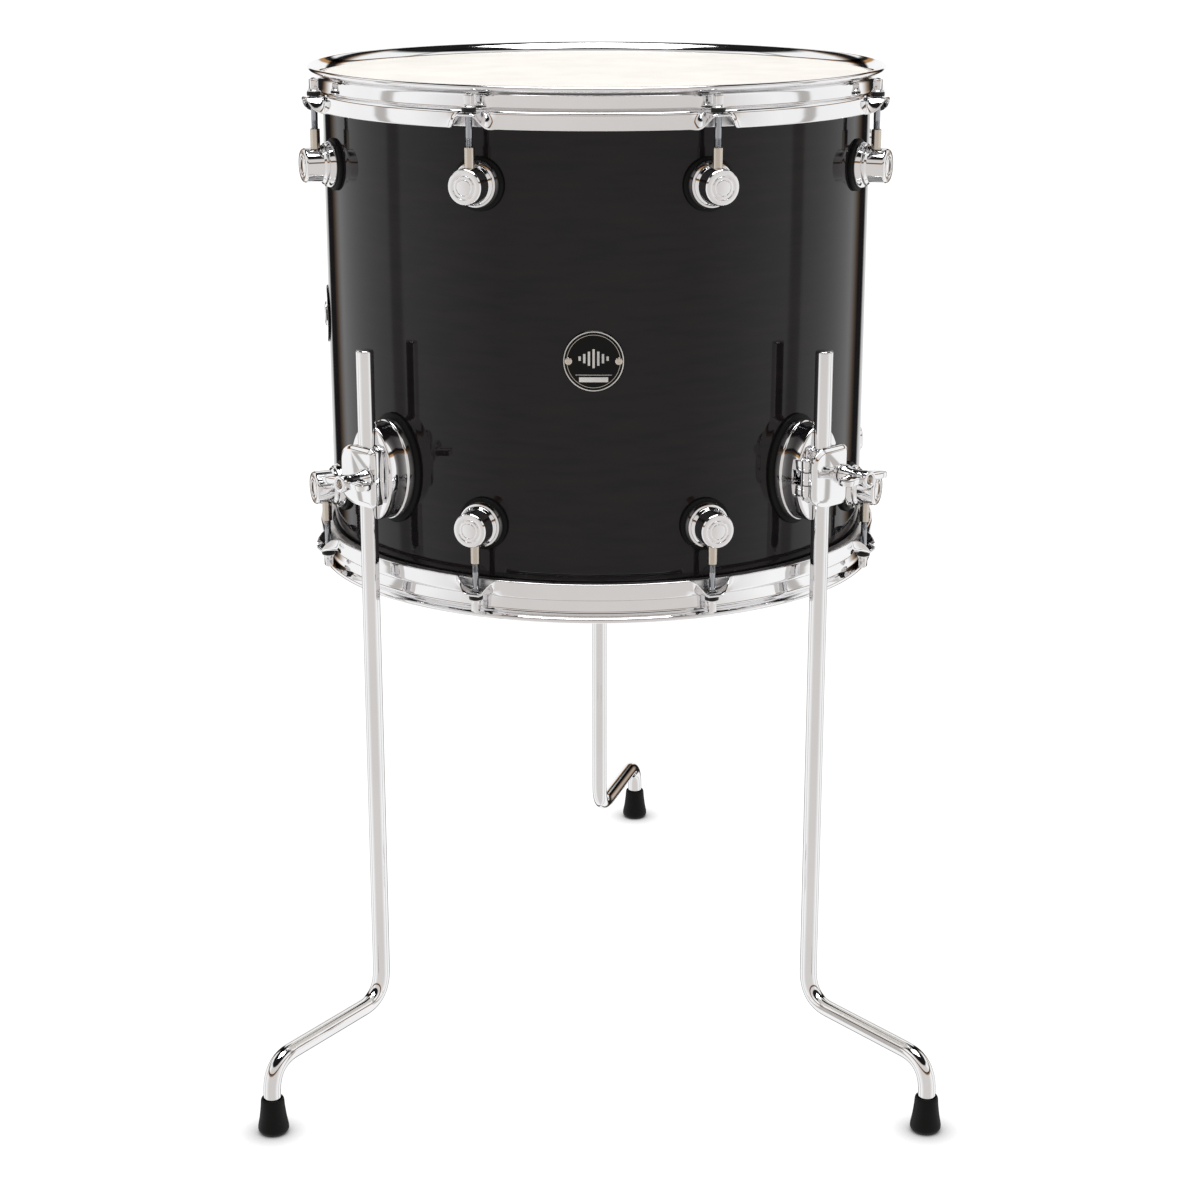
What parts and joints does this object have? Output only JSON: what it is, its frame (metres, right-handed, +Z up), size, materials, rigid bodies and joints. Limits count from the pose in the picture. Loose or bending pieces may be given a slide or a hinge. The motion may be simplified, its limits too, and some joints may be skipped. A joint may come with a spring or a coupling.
{
  "type": "floor tom drum",
  "caption": "Free-standing cylindrical drum with a lacquered wooden shell, metal rims, tube lugs with tension rods, and height-adjustable bent legs on rubber feet.",
  "frame": {"origin": "on the floor, at the middle of the box around the three feet; the drum's own axis is at X -4.7 mm, Y -41.7 mm", "axes": "+Z up along the drum's axis, -Y the front with the badge, +X to the right of a viewer in front"},
  "size_m": [0.4946, 0.6426, 0.7386],
  "materials": {
    "shell_lacquer": "near-black stained wood under high-gloss clear lacquer",
    "chrome": "mirror chrome plate",
    "head_film": "coated white plastic film, satin",
    "flesh_hoop_metal": "plain rolled aluminium",
    "rubber": "moulded black rubber",
    "badge_plate": "gloss black enamel with a white ring"
  },
  "bodies": {
    "drum": {"shell": "shell_lacquer", "batter_hoop": "chrome", "batter_head": "head_film", "batter_flesh_hoop": "flesh_hoop_metal", "batter_lug_1": "chrome", "batter_lug_2": "chrome", "batter_lug_3": "chrome", "batter_lug_4": "chrome", "batter_lug_5": "chrome", "batter_lug_6": "chrome", "batter_lug_7": "chrome", "batter_lug_8": "chrome", "resonant_hoop": "chrome", "resonant_head": "head_film", "resonant_flesh_hoop": "flesh_hoop_metal", "resonant_lug_1": "chrome", "resonant_lug_2": "chrome", "resonant_lug_3": "chrome", "resonant_lug_4": "chrome", "resonant_lug_5": "chrome", "resonant_lug_6": "chrome", "resonant_lug_7": "chrome", "resonant_lug_8": "chrome", "left_bracket_gasket": "rubber", "left_bracket_body": "chrome", "left_bracket_gate": "chrome", "right_bracket_gasket": "rubber", "right_bracket_body": "chrome", "right_bracket_gate": "chrome", "rear_bracket_gasket": "rubber", "rear_bracket_body": "chrome", "rear_bracket_gate": "chrome", "badge": "badge_plate", "side_badge": "badge_plate", "vent_grommet": "chrome"},
    "left_leg": {"left_leg": "chrome", "left_foot": "rubber"},
    "right_leg": {"right_leg": "chrome", "right_foot": "rubber"},
    "rear_leg": {"rear_leg": "chrome", "rear_foot": "rubber"},
    "left_wing_nut": {"left_wing_nut": "chrome"},
    "right_wing_nut": {"right_wing_nut": "chrome"},
    "rear_wing_nut": {"rear_wing_nut": "chrome"},
    "batter_rod_1": {"batter_rod_1": "chrome"},
    "batter_rod_2": {"batter_rod_2": "chrome"},
    "batter_rod_3": {"batter_rod_3": "chrome"},
    "batter_rod_4": {"batter_rod_4": "chrome"},
    "batter_rod_5": {"batter_rod_5": "chrome"},
    "batter_rod_6": {"batter_rod_6": "chrome"},
    "batter_rod_7": {"batter_rod_7": "chrome"},
    "batter_rod_8": {"batter_rod_8": "chrome"},
    "resonant_rod_1": {"resonant_rod_1": "chrome"},
    "resonant_rod_2": {"resonant_rod_2": "chrome"},
    "resonant_rod_3": {"resonant_rod_3": "chrome"},
    "resonant_rod_4": {"resonant_rod_4": "chrome"},
    "resonant_rod_5": {"resonant_rod_5": "chrome"},
    "resonant_rod_6": {"resonant_rod_6": "chrome"},
    "resonant_rod_7": {"resonant_rod_7": "chrome"},
    "resonant_rod_8": {"resonant_rod_8": "chrome"}
  },
  "joints": [
    {"name": "left_leg_height", "type": "slide", "parent": "drum", "child": "left_leg", "axis": [0, 0, 1], "range_m": [-0.06, 0.3]},
    {"name": "right_leg_height", "type": "slide", "parent": "drum", "child": "right_leg", "axis": [0, 0, 1], "range_m": [-0.06, 0.3]},
    {"name": "rear_leg_height", "type": "slide", "parent": "drum", "child": "rear_leg", "axis": [0, 0, 1], "range_m": [-0.06, 0.3]},
    {"name": "left_wing_nut_turn", "type": "hinge", "parent": "drum", "child": "left_wing_nut", "pos_m": [-0.17342, -0.22671, 0.464], "axis": [-0.7071, -0.7071, 0], "continuous": true},
    {"name": "right_wing_nut_turn", "type": "hinge", "parent": "drum", "child": "right_wing_nut", "pos_m": [0.18027, -0.21044, 0.464], "axis": [0.7071, -0.7071, 0], "continuous": true},
    {"name": "rear_wing_nut_turn", "type": "hinge", "parent": "drum", "child": "rear_wing_nut", "pos_m": [-0.01621, 0.20837, 0.464], "axis": [0, 1, 0], "continuous": true},
    {"name": "batter_rod_1_turn", "type": "hinge", "parent": "drum", "child": "batter_rod_1", "pos_m": [0.07845, -0.24249, 0.7254], "axis": [0, 0, 1], "continuous": true},
    {"name": "batter_rod_2_turn", "type": "hinge", "parent": "drum", "child": "batter_rod_2", "pos_m": [0.19605, -0.12488, 0.7254], "axis": [0, 0, 1], "continuous": true},
    {"name": "batter_rod_3_turn", "type": "hinge", "parent": "drum", "child": "batter_rod_3", "pos_m": [0.19605, 0.04143, 0.7254], "axis": [0, 0, 1], "continuous": true},
    {"name": "batter_rod_4_turn", "type": "hinge", "parent": "drum", "child": "batter_rod_4", "pos_m": [0.07845, 0.15903, 0.7254], "axis": [0, 0, 1], "continuous": true},
    {"name": "batter_rod_5_turn", "type": "hinge", "parent": "drum", "child": "batter_rod_5", "pos_m": [-0.08787, 0.15903, 0.7254], "axis": [0, 0, 1], "continuous": true},
    {"name": "batter_rod_6_turn", "type": "hinge", "parent": "drum", "child": "batter_rod_6", "pos_m": [-0.20547, 0.04143, 0.7254], "axis": [0, 0, 1], "continuous": true},
    {"name": "batter_rod_7_turn", "type": "hinge", "parent": "drum", "child": "batter_rod_7", "pos_m": [-0.20547, -0.12488, 0.7254], "axis": [0, 0, 1], "continuous": true},
    {"name": "batter_rod_8_turn", "type": "hinge", "parent": "drum", "child": "batter_rod_8", "pos_m": [-0.08787, -0.24249, 0.7254], "axis": [0, 0, 1], "continuous": true},
    {"name": "resonant_rod_1_turn", "type": "hinge", "parent": "drum", "child": "resonant_rod_1", "pos_m": [0.07845, 0.15903, 0.3814], "axis": [0, 0, 1], "continuous": true},
    {"name": "resonant_rod_2_turn", "type": "hinge", "parent": "drum", "child": "resonant_rod_2", "pos_m": [0.19605, 0.04143, 0.3814], "axis": [0, 0, 1], "continuous": true},
    {"name": "resonant_rod_3_turn", "type": "hinge", "parent": "drum", "child": "resonant_rod_3", "pos_m": [0.19605, -0.12488, 0.3814], "axis": [0, 0, 1], "continuous": true},
    {"name": "resonant_rod_4_turn", "type": "hinge", "parent": "drum", "child": "resonant_rod_4", "pos_m": [0.07845, -0.24249, 0.3814], "axis": [0, 0, 1], "continuous": true},
    {"name": "resonant_rod_5_turn", "type": "hinge", "parent": "drum", "child": "resonant_rod_5", "pos_m": [-0.08787, -0.24249, 0.3814], "axis": [0, 0, 1], "continuous": true},
    {"name": "resonant_rod_6_turn", "type": "hinge", "parent": "drum", "child": "resonant_rod_6", "pos_m": [-0.20547, -0.12488, 0.3814], "axis": [0, 0, 1], "continuous": true},
    {"name": "resonant_rod_7_turn", "type": "hinge", "parent": "drum", "child": "resonant_rod_7", "pos_m": [-0.20547, 0.04143, 0.3814], "axis": [0, 0, 1], "continuous": true},
    {"name": "resonant_rod_8_turn", "type": "hinge", "parent": "drum", "child": "resonant_rod_8", "pos_m": [-0.08787, 0.15903, 0.3814], "axis": [0, 0, 1], "continuous": true}
  ]
}
